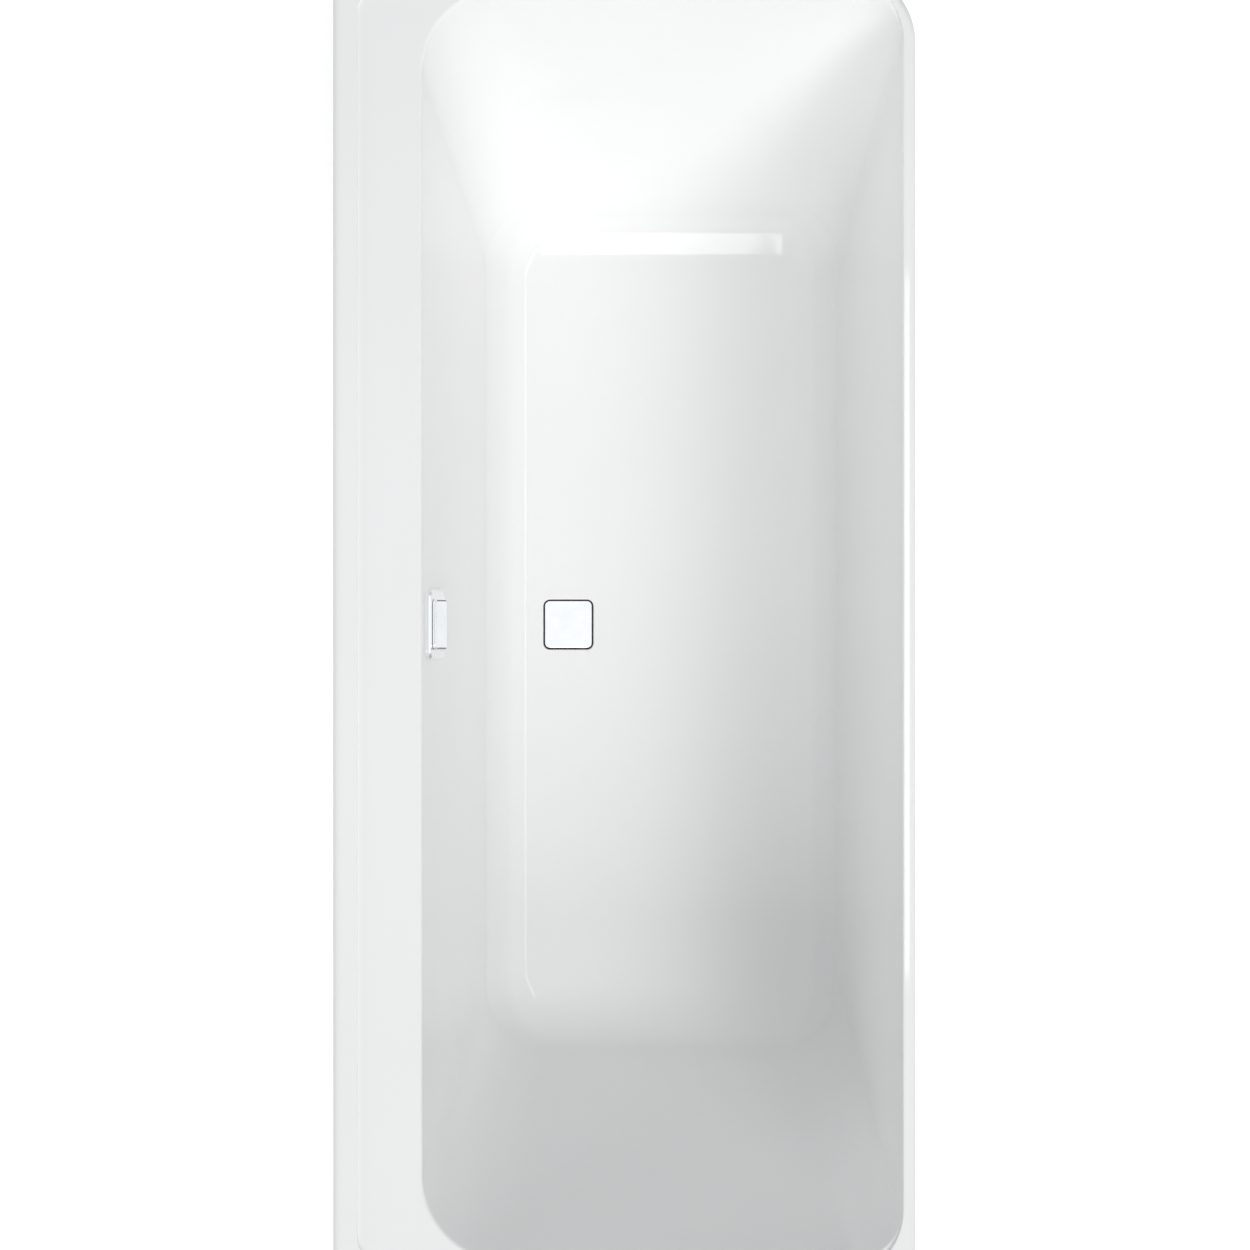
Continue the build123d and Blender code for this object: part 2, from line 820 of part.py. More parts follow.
chamber_bottom_z = chamber_top_z - chamber_roof - chamber_height
collar_radius = trap_radius + trap_flange
port_z = chamber_bottom_z + port_height
port_end_y = drain_y + chamber_radius + port_length
anchor_x = drain_x + chamber_radius + crank_gap + crank_thickness + nipple_radius
wire_drop = crank_arm * (1 + cos(half_turn)) / 2
wire_z = pivot_z - wire_drop
anchor_low_y = drain_y + chamber_radius - anchor_inset
anchor_high_y = anchor_low_y + anchor_thickness
with BuildPart() as waste_body:
    add(drain_ring(chamber_top_z - waste_ring_thickness, chamber_top_z, waste_ring_radius, 0))
    add(drain_ring(chamber_bottom_z, chamber_top_z, chamber_radius, 0))
    add(drain_ring(chamber_bottom_z, chamber_bottom_z + chamber_floor, collar_radius, 0))
    add(drain_ring(chamber_bottom_z - dip_tube_length, chamber_bottom_z, dip_tube_radius, 0))
    with BuildSketch(Plane.XZ.offset(-drain_y)):
        with Locations((drain_x, port_z)):
            Circle(hose_bore)
    extrude(amount=-(port_end_y - drain_y))
    add(
        box_between(
            (drain_x + chamber_radius - anchor_root, anchor_low_y, wire_z - anchor_half),
            (anchor_x + anchor_half, anchor_high_y, wire_z + anchor_half),
        )
    )
    with BuildSketch(Plane.YZ.offset(drain_x)):
        with Locations((pivot_y, pivot_z)):
            Circle(lever_bearing_radius)
    extrude(amount=chamber_radius, both=True)
    add(
        drain_ring(
            chamber_bottom_z + chamber_floor,
            chamber_top_z - chamber_roof,
            chamber_radius - chamber_wall,
            0,
        ),
        mode=Mode.SUBTRACT,
    )
    add(
        drain_ring(
            chamber_top_z - chamber_roof,
            chamber_top_z,
            sleeve_radius + seat_gap,
            0,
        ),
        mode=Mode.SUBTRACT,
    )
    add(
        drain_ring(
            chamber_bottom_z - dip_tube_length,
            chamber_bottom_z + chamber_floor,
            dip_tube_radius - dip_tube_wall,
            0,
        ),
        mode=Mode.SUBTRACT,
    )
    with BuildSketch(Plane.XZ.offset(-drain_y)):
        with Locations((drain_x, port_z)):
            Circle(hose_bore - port_wall)
    extrude(amount=-(port_end_y - drain_y), mode=Mode.SUBTRACT)
    with BuildSketch(Plane.YZ.offset(drain_x)):
        with Locations((pivot_y, pivot_z)):
            Circle(lever_shaft_radius + running_gap)
    extrude(amount=chamber_radius, both=True, mode=Mode.SUBTRACT)
    with BuildSketch(Plane.XZ.offset(-anchor_low_y)):
        with Locations((anchor_x, wire_z)):
            Circle(wire_radius + seat_gap)
    extrude(amount=-(anchor_high_y - anchor_low_y), mode=Mode.SUBTRACT)
    with BuildSketch(Plane.XZ.offset(-(anchor_high_y - sheath_socket))):
        with Locations((anchor_x, wire_z)):
            Circle(sheath_radius + running_gap)
    extrude(amount=-sheath_socket, mode=Mode.SUBTRACT)
waste_body.part.label = "waste_body"

# Lever with its shaft, and the crank on the shaft's outer end
lever_plane = Plane(
    origin=(drain_x, pivot_y, pivot_z),
    x_dir=(0, cos(half_turn), -sin(half_turn)),
    z_dir=(1, 0, 0),
)
crank_low_x = chamber_radius + crank_gap
with BuildPart() as lifter_lever:
    with BuildSketch(lever_plane):
        Circle(lever_hub_radius)
        with Locations((lever_arm / 2, 0)):
            Rectangle(lever_arm, lever_thickness)
        with Locations((lever_arm, 0)):
            Circle(lever_nose_radius)
    extrude(amount=lever_width / 2, both=True)
    with BuildSketch(lever_plane.offset(-chamber_radius)):
        Circle(lever_shaft_radius)
    extrude(amount=chamber_radius + crank_low_x + crank_thickness)
lifter_lever.part.label = "lifter_lever"

with BuildPart() as lifter_crank:
    with BuildSketch(lever_plane.offset(crank_low_x)):
        Circle(crank_hub_radius)
        with Locations((0, -crank_arm / 2)):
            Rectangle(crank_width, crank_arm)
        with Locations((0, -crank_arm)):
            Circle(nipple_radius + crank_eye_wall)
        Circle(lever_shaft_radius + running_gap, mode=Mode.SUBTRACT)
        with Locations((0, -crank_arm)):
            Circle(nipple_radius + nipple_slack, mode=Mode.SUBTRACT)
    extrude(amount=crank_thickness)
lifter_crank.part.label = "lifter_crank"

# Bare end of the pull wire with the nipple that sits in the crank
nipple_y = pivot_y - crank_arm * sin(half_turn)
with BuildPart() as pull_wire:
    with BuildSketch(Plane.YZ.offset(crank_low_x)):
        with Locations((nipple_y, wire_z)):
            Circle(nipple_radius)
    extrude(amount=anchor_x + nipple_radius - crank_low_x)
    with BuildSketch(Plane.XZ.offset(-nipple_y)):
        with Locations((anchor_x, wire_z)):
            Circle(wire_radius)
    extrude(amount=-(anchor_high_y - nipple_y))
pull_wire.part.label = "pull_wire"

# Trap under the waste body
cup_top_z = chamber_bottom_z - seal_thickness
trap_bottom_z = cup_top_z - trap_depth
nut_bottom_z = cup_top_z - 2 * trap_flange
nut_top_z = chamber_bottom_z + chamber_floor
trap_seal_part = drain_ring(
    cup_top_z, chamber_bottom_z, collar_radius, trap_radius - trap_wall
)
trap_seal_part.label = "trap_seal"

outlet_z = nut_bottom_z - outlet_nut_gap - outlet_pipe_radius
outlet_collar_x = drain_x - trap_radius - outlet_collar_length
outlet_end_x = drain_x - trap_radius - outlet_port_length
outlet_reach = drain_x - outlet_end_x
with BuildPart() as trap_cup:
    add(drain_ring(trap_bottom_z, cup_top_z, trap_radius, 0))
    add(drain_ring(cup_top_z - trap_flange, cup_top_z, collar_radius, 0))
    with BuildSketch(Plane.YZ.offset(outlet_end_x)):
        with Locations((drain_y, outlet_z)):
            Circle(outlet_port_radius)
    extrude(amount=outlet_reach)
    with BuildSketch(Plane.YZ.offset(outlet_collar_x)):
        with Locations((drain_y, outlet_z)):
            Circle(outlet_pipe_radius - outlet_collar_step)
    extrude(amount=drain_x - outlet_collar_x)
    add(
        drain_ring(trap_bottom_z + trap_wall, cup_top_z, trap_radius - trap_wall, 0),
        mode=Mode.SUBTRACT,
    )
    with BuildSketch(Plane.YZ.offset(outlet_end_x)):
        with Locations((drain_y, outlet_z)):
            Circle(outlet_port_radius - outlet_port_wall)
    extrude(amount=outlet_reach, mode=Mode.SUBTRACT)
trap_cup.part.label = "trap_cup"

with BuildPart() as trap_nut:
    add(
        drain_ring(
            nut_bottom_z, nut_top_z, collar_radius + trap_nut_wall, collar_radius + seat_gap
        )
    )
    add(
        drain_ring(
            nut_bottom_z,
            cup_top_z - trap_flange,
            collar_radius + trap_nut_wall,
            trap_radius + seat_gap,
        )
    )
    with BuildSketch(Plane.XY.offset(nut_bottom_z)):
        with Locations((drain_x, drain_y)):
            with PolarLocations(collar_radius + trap_nut_wall, trap_nut_ribs):
                Circle(trap_nut_rib_radius)
    extrude(amount=nut_top_z - nut_bottom_z)
trap_nut.part.label = "trap_nut"

# Outlet bend, which turns on the trap's outlet, and its nut
bend_start_x = outlet_end_x - outlet_bend_lead
bend_end_y = drain_y + outlet_bend_radius + outlet_tail
socket_end_x = outlet_collar_x - seat_gap
with BuildPart() as outlet_bend:
    with BuildLine() as bend_line:
        FilletPolyline(
            (socket_end_x, drain_y, outlet_z),
            (bend_start_x - outlet_bend_radius, drain_y, outlet_z),
            (bend_start_x - outlet_bend_radius, bend_end_y, outlet_z),
            radius=outlet_bend_radius,
        )
    with BuildSketch(Plane.YZ.offset(socket_end_x)):
        with Locations((drain_y, outlet_z)):
            Circle(outlet_pipe_radius)
    sweep(path=bend_line.wires()[0])
    with BuildSketch(Plane.YZ.offset(socket_end_x)):
        with Locations((drain_y, outlet_z)):
            Circle(outlet_port_radius + running_gap)
    sweep(path=bend_line.wires()[0], mode=Mode.SUBTRACT)
outlet_bend.part.label = "outlet_bend"

# Overflow, on the overflow's own plane
overflow_seal_depth = acrylic + seal_thickness
with BuildPart() as overflow_seal:
    with BuildSketch(overflow_plane.offset(-overflow_seal_depth)):
        Circle(overflow_hole_radius + overflow_seal_width)
        Circle(overflow_hole_radius, mode=Mode.SUBTRACT)
    extrude(amount=seal_thickness)
overflow_seal.part.label = "overflow_seal"

housing_back = -(overflow_seal_depth + housing_depth)
housing_bore = housing_radius - housing_wall
cable_u = drum_radius
cable_w = -drum_depth
down_wall = Plane(
    origin=overflow_plane.origin,
    x_dir=overflow_plane.x_dir,
    z_dir=-overflow_plane.y_dir,
)
with BuildPart() as overflow_housing:
    with BuildSketch(overflow_plane.offset(-overflow_seal_depth - housing_flange)):
        Circle(overflow_hole_radius + housing_flange_width)
    extrude(amount=housing_flange)
    with BuildSketch(overflow_plane.offset(housing_back)):
        Circle(housing_radius)
    extrude(amount=housing_depth)
    with BuildSketch(down_wall):
        with Locations((0, -hose_axis_depth)):
            Circle(hose_bore)
    extrude(amount=spigot_length)
    with BuildSketch(down_wall):
        with Locations((cable_u, cable_w)):
            Circle(cable_boss_radius)
    extrude(amount=cable_boss_length)
    with BuildSketch(overflow_plane.offset(housing_back + housing_wall)):
        Circle(housing_bore)
    extrude(amount=-housing_back - housing_wall, mode=Mode.SUBTRACT)
    with BuildSketch(overflow_plane.offset(housing_back)):
        Circle(tail_socket_radius)
    extrude(amount=housing_wall + tail_socket_depth)
    with BuildSketch(overflow_plane.offset(housing_back + housing_wall)):
        Circle(spindle_tail_radius + running_gap)
    extrude(amount=tail_socket_depth, mode=Mode.SUBTRACT)
    with BuildSketch(overflow_plane.offset(housing_back)):
        with PolarLocations(overflow_screw_place, 2, start_angle=90):
            Circle(screw_boss_radius)
    extrude(amount=housing_depth - housing_flange)
    with BuildSketch(overflow_plane.offset(housing_back + housing_wall)):
        with PolarLocations(overflow_screw_place, 2, start_angle=90):
            Circle(overflow_screw_radius + running_gap)
    extrude(amount=housing_depth, mode=Mode.SUBTRACT)
    with BuildSketch(down_wall.offset(spigot_bore_start)):
        with Locations((0, -hose_axis_depth)):
            Circle(hose_bore - port_wall)
    extrude(amount=spigot_length, mode=Mode.SUBTRACT)
    with BuildSketch(down_wall):
        with Locations((cable_u, cable_w)):
            Circle(wire_radius + seat_gap)
    extrude(amount=cable_boss_length, mode=Mode.SUBTRACT)
    with BuildSketch(down_wall.offset(cable_boss_length - sheath_socket)):
        with Locations((cable_u, cable_w)):
            Circle(sheath_radius + running_gap)
    extrude(amount=sheath_socket, mode=Mode.SUBTRACT)
overflow_housing.part.label = "overflow_housing"

# Escutcheon: a shallow square cup with an inlet slot in its lower side
inner_size = overflow_base_size - 2 * overflow_base_rim
screw_head_seat = overflow_base_thickness - overflow_screw_head_height
with BuildPart() as overflow_base:
    with BuildSketch(overflow_plane):
        RectangleRounded(overflow_base_size, overflow_base_size, overflow_base_corner)
    extrude(amount=overflow_base_thickness)
    front_edges = overflow_base.faces().sort_by(basin_axis)[-1].edges()
    chamfer(front_edges, overflow_base_chamfer)
    with BuildSketch(overflow_plane):
        RectangleRounded(inner_size, inner_size, overflow_base_corner - overflow_base_rim)
        Circle(spindle_boss_radius, mode=Mode.SUBTRACT)
        with PolarLocations(overflow_screw_place, 2, start_angle=90):
            Circle(screw_post_radius, mode=Mode.SUBTRACT)
    extrude(amount=overflow_base_thickness - overflow_base_wall, mode=Mode.SUBTRACT)
    with BuildSketch(overflow_plane):
        Circle(spindle_radius + running_gap)
        with PolarLocations(overflow_screw_place, 2, start_angle=90):
            Circle(overflow_screw_radius + running_gap)
    extrude(amount=overflow_base_thickness, mode=Mode.SUBTRACT)
    with BuildSketch(overflow_plane.offset(screw_head_seat)):
        with PolarLocations(overflow_screw_place, 2, start_angle=90):
            Circle(overflow_screw_head_radius + running_gap)
    extrude(amount=overflow_screw_head_height, mode=Mode.SUBTRACT)
    with BuildSketch(overflow_plane.offset(inlet_slot_rise)):
        with Locations((0, -overflow_base_size / 2)):
            Rectangle(inlet_slot_length, inlet_slot_reach)
    extrude(amount=inlet_slot_height, mode=Mode.SUBTRACT)
overflow_base.part.label = "overflow_base"

with BuildPart() as overflow_screws:
    with BuildSketch(overflow_plane.offset(-overflow_screw_reach)):
        with PolarLocations(overflow_screw_place, 2, start_angle=90):
            Circle(overflow_screw_radius)
    extrude(amount=overflow_screw_reach + screw_head_seat)
    with BuildSketch(overflow_plane.offset(screw_head_seat)):
        with PolarLocations(overflow_screw_place, 2, start_angle=90):
            Circle(overflow_screw_head_radius)
    extrude(amount=overflow_screw_head_height)
overflow_screws.part.label = "overflow_screws"

# Knob, spindle and the drum that winds the wire, which turn together
knob_back = overflow_base_thickness + knob_gap
with BuildPart() as overflow_knob:
    with BuildSketch(overflow_plane.offset(knob_back)):
        RectangleRounded(knob_size, knob_size, knob_corner_radius)
    extrude(amount=knob_thickness)
    knob_edges = overflow_knob.faces().sort_by(basin_axis)[-1].edges()
    fillet(knob_edges, knob_edge_round)
    with BuildSketch(overflow_plane.offset(knob_back)):
        Circle(spindle_radius + running_gap)
    extrude(amount=spindle_in_knob, mode=Mode.SUBTRACT)
overflow_knob.part.label = "overflow_knob"

tail_bottom = housing_back + housing_wall + spindle_end_gap
tail_top = tail_bottom + spindle_tail_length
with BuildPart() as knob_spindle:
    with BuildSketch(overflow_plane.offset(tail_bottom)):
        Circle(spindle_tail_radius)
    extrude(amount=tail_top - tail_bottom)
    with BuildSketch(overflow_plane.offset(tail_top)):
        Circle(spindle_radius)
    extrude(amount=knob_back + spindle_in_knob - tail_top)
knob_spindle.part.label = "knob_spindle"

with BuildPart() as cable_drum:
    with BuildSketch(overflow_plane.offset(cable_w - drum_thickness / 2)):
        Circle(drum_radius)
        Circle(spindle_radius + running_gap, mode=Mode.SUBTRACT)
    extrude(amount=drum_thickness)
cable_drum.part.label = "cable_drum"


# Overflow hose: down the back of the wall, then round under the foot to the waste body
hose_start = housing_radius + hose_start_gap
wall_down = -overflow_plane.y_dir
hose_axis_origin = overflow_plane.origin - overflow_plane.z_dir * hose_axis_depth
hose_top = hose_axis_origin + wall_down * hose_start
hose_corner_run = (hose_axis_origin.Z - port_z) / -wall_down.Z
hose_corner = hose_axis_origin + wall_down * hose_corner_run
hose_end = Vector(drain_x, port_end_y - hose_overlap, port_z)
with BuildPart() as overflow_hose:
    with BuildLine() as hose_line:
        FilletPolyline(hose_top, hose_corner, hose_end, radius=hose_bend_radius)
    with BuildSketch(down_wall.offset(hose_start)):
        with Locations((0, -hose_axis_depth)):
            Circle(hose_radius)
            Circle(hose_bore + running_gap, mode=Mode.SUBTRACT)
    sweep(path=hose_line.wires()[0])
overflow_hose.part.label = "overflow_hose"

clamp_start = hose_start + clamp_inset
with BuildPart() as hose_clamps:
    with BuildSketch(down_wall.offset(clamp_start)):
        with Locations((0, -hose_axis_depth)):
            Circle(hose_radius + running_gap + clamp_thickness)
            Circle(hose_radius + running_gap, mode=Mode.SUBTRACT)
    extrude(amount=clamp_width)
    with BuildSketch(Plane.XZ.offset(-(hose_end.Y + clamp_inset))):
        with Locations((drain_x, port_z)):
            Circle(hose_radius + running_gap + clamp_thickness)
            Circle(hose_radius + running_gap, mode=Mode.SUBTRACT)
    extrude(amount=-clamp_width)
hose_clamps.part.label = "hose_clamps"

# Cable sheath: beside the hose, then under the foot to the anchor on the waste body
cable_origin = overflow_plane.origin + overflow_plane.z_dir * cable_w
cable_top = cable_origin + wall_down * (cable_boss_length - sheath_socket) + Vector(cable_u, 0, 0)
cable_bend_top = cable_origin + wall_down * sheath_shift_start + Vector(cable_u, 0, 0)
lower_clip_run = hose_corner_run - hose_bend_radius - clip_bend_gap
sheath_shift_end = lower_clip_run - sheath_clip_lead
cable_bend_low = cable_origin + wall_down * sheath_shift_end + Vector(anchor_x, 0, 0)
cable_corner_run = (cable_origin.Z - wire_z) / -wall_down.Z
cable_corner = cable_origin + wall_down * cable_corner_run + Vector(anchor_x, 0, 0)
cable_end = Vector(anchor_x, anchor_high_y - sheath_socket, wire_z)
with BuildPart() as cable_sheath:
    with BuildLine() as sheath_line:
        FilletPolyline(
            cable_top,
            cable_bend_top,
            cable_bend_low,
            cable_corner,
            cable_end,
            radius=(sheath_soft_radius, sheath_soft_radius, sheath_bend_radius),
        )
    with BuildSketch(down_wall.offset(cable_boss_length - sheath_socket)):
        with Locations((cable_u, cable_w)):
            Circle(sheath_radius)
    sweep(path=sheath_line.wires()[0])
    with BuildSketch(Plane.XZ.offset(-cable_end.Y)):
        with Locations((anchor_x, wire_z)):
            Circle(wire_radius + seat_gap)
    extrude(amount=-wire_bore_length, mode=Mode.SUBTRACT)
cable_sheath.part.label = "cable_sheath"

# Two clips that carry the sheath on the hose
with BuildPart() as cable_clips:
    for run, across in ((upper_clip_run, cable_u), (lower_clip_run, anchor_x)):
        with BuildSketch(down_wall.offset(run)):
            with Locations((0, -hose_axis_depth)):
                Circle(hose_radius + running_gap + clip_ring)
            with Locations((across, cable_w)):
                Circle(sheath_radius + running_gap + clip_ring)
            link = Vector(across, cable_w + hose_axis_depth, 0)
            with Locations(Pos(across / 2, (cable_w - hose_axis_depth) / 2)):
                Rectangle(
                    link.length,
                    clip_link,
                    rotation=degrees(atan2(link.Y, link.X)),
                )
            with Locations((0, -hose_axis_depth)):
                Circle(hose_radius + running_gap, mode=Mode.SUBTRACT)
            with Locations((across, cable_w)):
                Circle(sheath_radius + running_gap, mode=Mode.SUBTRACT)
        extrude(amount=clip_width)
cable_clips.part.label = "cable_clips"

builders = [
    bath_shell, base_board, rim_batten_wall, apron, floor_rail_front, floor_rail_end,
    apron_clips, rail_screws, end_brackets, bracket_pads, waste_flange, cover_plate,
    cover_gasket, waste_body, lifter_lever, lifter_crank, pull_wire, trap_cup, trap_nut,
    outlet_bend, overflow_seal, overflow_housing, overflow_base, overflow_screws,
    overflow_knob, knob_spindle, cable_drum, overflow_hose, hose_clamps, cable_sheath,
    cable_clips,
]
pieces = [builder.part for builder in builders]
pieces += [flange_seal_part, body_seal_part, plug_stem_part, trap_seal_part]
for group in (end_battens, cross_rails, nut_sets, legs, brackets):
    pieces += group.values()
os.makedirs("parts", exist_ok=True)
for piece in pieces:
    export_step(piece, f"parts/{piece.label}.step")
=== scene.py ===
import json
from math import acos, cos, pi, radians, sin, sqrt, tan

import bpy
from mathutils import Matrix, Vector


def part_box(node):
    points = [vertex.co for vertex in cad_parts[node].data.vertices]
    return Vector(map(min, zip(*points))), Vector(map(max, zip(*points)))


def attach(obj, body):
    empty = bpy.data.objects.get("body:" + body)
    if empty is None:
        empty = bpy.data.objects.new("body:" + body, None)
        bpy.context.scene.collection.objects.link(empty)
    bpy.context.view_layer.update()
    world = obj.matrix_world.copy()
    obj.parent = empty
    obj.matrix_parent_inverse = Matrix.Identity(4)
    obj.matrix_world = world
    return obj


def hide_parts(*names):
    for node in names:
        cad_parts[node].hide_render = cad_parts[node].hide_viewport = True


# Back-to-wall bathtub seen from straight above, in metres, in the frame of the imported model.
# +X is up in the picture and -Y is to its right. The long wall is at +Y, the end wall at -X.

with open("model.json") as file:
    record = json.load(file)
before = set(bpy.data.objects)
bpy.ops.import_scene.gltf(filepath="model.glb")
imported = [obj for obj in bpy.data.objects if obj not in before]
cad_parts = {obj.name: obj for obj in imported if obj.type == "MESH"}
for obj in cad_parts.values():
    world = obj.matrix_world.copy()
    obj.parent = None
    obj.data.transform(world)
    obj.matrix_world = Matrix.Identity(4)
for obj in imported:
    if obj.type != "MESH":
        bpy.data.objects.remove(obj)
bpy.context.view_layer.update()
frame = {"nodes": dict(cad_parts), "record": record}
shell_low, shell_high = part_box("bath_shell")

# Rim of the shell
rim_top = shell_high.z
rim_drop = 0.035
rim_skin = 0.005
edge_height = 0.006
front_roundover = 0.007
wall_roundover = 0.012
free_corner = 0.100
square_corner = 0.002
wall_edge = 0.033
front_edge = 0.018
end_edge = 0.012
deck_wall_corner = 0.050
step_round = 0.0015

# Basin
acrylic = 0.006
deck_z = rim_top - edge_height
floor_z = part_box("base_board")[1].z + acrylic
basin_depth = deck_z - floor_z
end_rim = 0.0272
wall_rim = 0.1216
side_lean = radians(12.1)
end_lean = radians(35.4)
side_foot = 0.063
end_foot = 0.104
floor_corner = 0.025
lip_wall_corner = 0.115
lip_front_corner = 0.070
lip_round = 0.006

# Recess round the waste
recess_half = 0.0345
recess_corner = 0.009
recess_depth = 0.008
recess_skin = 0.005
recess_round = 0.0015
waste_hole = 0.026

# Hole for the overflow, and the hose behind the wall
overflow_hole = 0.0305
overflow_z = 0.514
hose_radius = 0.018
hose_bore = 0.0153
hose_pitch = 0.0042
hose_groove = 0.0014
hose_cuff = 0.024
hose_route = (
    Vector((0, 0.28569, 0.46581)),
    Vector((0, 0.22572, 0.18605)),
    Vector((0, 0.20727, 0.1)),
    Vector((0, 0.1193, 0.1)),
)

# Threads of the legs' rods. The crest is a share of the pitch, from its start to its end.
thread_pitch = 0.0015
thread_depth = 0.0009
thread_crest = (0.4, 0.55)
rod_point = 0.0002

# Points round each ring of the shell's mesh
corner_steps = 20
long_steps = 60
short_steps = 24

# Rings of the shell's mesh
rim_band = 0.02
edge_steps = 8
step_steps = 4
lip_steps = 10
lip_reach = 0.012
wall_steps = 24
foot_steps = 20
floor_steps = 12
edge_hold = 0.15
edge_front_hold = 0.003
mouth_hold = 0.99

# Tool that bores the overflow's hole: how far it reaches each way, and its open middle
cutter_reach = 0.03
cutter_core = 0.001

# Points round each turned piece, rings along one fold of the hose, and points along its line
round_steps = 40
fold_steps = 6
route_steps = 40

# Shading and rounding of edges
crease_angle = radians(40)
thread_crease = radians(25)
edge_bevel = 0.0004
bevel_angle = radians(35)
weld_gap = 0.00001

# Studio
fill_strength = 0.41
white_strength = 1.12
floor_half = 6.0
floor_gap = 0.0005
floor_glow = 0.6
camera_lens = 1400.0
camera_rise = 66.77
camera_reach = 200.0
camera_x = -0.0007
camera_y = -0.001

# Lamps: name, place, target, size, power, and whether it only shows in reflections. The first
# four light the tub: two from the picture's lower right and lower end, a weak one from its left
# and a small one from above. The gloss shows the other two.
tub_middle = (0, 0, 0.3)
lamps = (
    ("key", (-16.5, -19.7, 30.6), tub_middle, (13.3, 13.3), 5300.0, False),
    ("end", (-33.1, 0, 22.4), tub_middle, (13.3, 13.3), 4700.0, False),
    ("wall", (0, 37.6, 13.7), tub_middle, (13.3, 13.3), 1800.0, False),
    ("top", (0, 0, 2.6), tub_middle, (0.8, 0.8), 5.2, False),
    ("band", (-1.295, -0.041, 4.235), (-0.309, -0.041, 4.068), (0.34, 4.13), 15.0, True),
    ("line", (0, -0.38, 3.0), (0, 0.12, 0.2), (1.0, 0.1), 1.3, True),
)

lip_x = shell_high.x - end_rim
lip_low_y = shell_low.y + front_edge
lip_high_y = shell_high.y - wall_rim
basin_y = (lip_low_y + lip_high_y) / 2
drain_low, drain_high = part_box("cover_plate")
drain_x = (drain_low.x + drain_high.x) / 2
drain_y = (drain_low.y + drain_high.y) / 2


def ring(low_x, high_x, low_y, high_y, corners, z):
    """One closed ring of points: a rectangle with four elliptical corners, each a pair of
    semi-axes, anticlockwise from the one at +X and -Y."""
    arcs = []
    for quarter, (reach_x, reach_y) in enumerate(corners):
        centre_x = high_x - reach_x if quarter in (0, 1) else low_x + reach_x
        centre_y = low_y + reach_y if quarter in (0, 3) else high_y - reach_y
        arc = []
        for step in range(corner_steps + 1):
            angle = radians(90 * (quarter - 1 + step / corner_steps))
            arc.append((centre_x + reach_x * cos(angle), centre_y + reach_y * sin(angle)))
        arcs.append(arc)
    points = []
    for quarter, arc in enumerate(arcs):
        points += arc
        start_x, start_y = arc[-1]
        end_x, end_y = arcs[(quarter + 1) % 4][0]
        steps = short_steps if quarter % 2 == 0 else long_steps
        for step in range(1, steps):
            share = step / steps
            points.append(
                (start_x + (end_x - start_x) * share, start_y + (end_y - start_y) * share)
            )
    return [(x, y, z) for x, y in points]


def quarter_turn(steps):
    """Even angles from nought to a right one."""
    return [radians(90 * step / steps) for step in range(steps + 1)]


def mix_rings(first, second, share):
    """Ring part of the way from one ring to another."""
    return [
        tuple(a + (b - a) * share for a, b in zip(one, other))
        for one, other in zip(first, second)
    ]


def run_out(height, foot, lean, skin):
    """Distance from the flat floor's edge out to the wall, at a height above the inside floor."""
    radius = foot + skin
    knee = foot - radius * sin(lean)
    if height <= knee:
        return sqrt(max(radius**2 - (foot - height) ** 2, 0.0))
    return radius * cos(lean) + (height - knee) * tan(lean)


floor_half_x = lip_x - run_out(basin_depth, end_foot, end_lean, 0)
floor_half_y = (lip_high_y - lip_low_y) / 2 - run_out(basin_depth, side_foot, side_lean, 0)


def corner_radius(height, lip_radius, skin):
    """Plan radius of a basin corner: it grows up the foot, then changes evenly to the lip."""
    knee = side_foot - (side_foot + skin) * sin(side_lean)
    foot = floor_corner + run_out(min(height, knee), side_foot, side_lean, skin)
    if height <= knee:
        return foot
    return foot + (lip_radius + skin - foot) * (height - knee) / (basin_depth - knee)


def lip_widening(depth, lean):
    """How far the rounded lip stands back from the wall's line, at a depth below the deck."""
    turn = pi / 2 - lean
    rounded_depth = lip_round * (1 - cos(turn))
    if depth >= rounded_depth:
        return 0.0
    swing = acos(1 - depth / lip_round)
    return lip_round * (tan(turn / 2) - sin(swing)) + depth * tan(lean)


def basin_ring(height, skin):
    """Ring of the basin's wall at one height above the inside floor."""
    half_x = floor_half_x + run_out(height, end_foot, end_lean, skin)
    half_y = floor_half_y + run_out(height, side_foot, side_lean, skin)
    wall_radius = corner_radius(height, lip_wall_corner, skin)
    front_radius = corner_radius(height, lip_front_corner, skin)
    end_back = side_back = 0.0
    if skin == 0:
        end_back = lip_widening(basin_depth - height, end_lean)
        side_back = lip_widening(basin_depth - height, side_lean)
    front = (front_radius + end_back, front_radius)
    wall = (wall_radius + end_back, wall_radius + side_back)
    return ring(
        -half_x - end_back,
        half_x + end_back,
        basin_y - half_y,
        basin_y + half_y + side_back,
        (front, wall, wall, front),
        floor_z + height,
    )


def outer_ring(inset, wall_inset, z):
    """Ring round the tub's outside, held in by inset at the front and both ends."""
    square = (square_corner, square_corner)
    rounded = (free_corner - inset, free_corner - inset)
    return ring(
        shell_low.x + inset,
        shell_high.x - inset,
        shell_low.y + inset,
        shell_high.y - wall_inset,
        (rounded, square, square, square),
        z,
    )


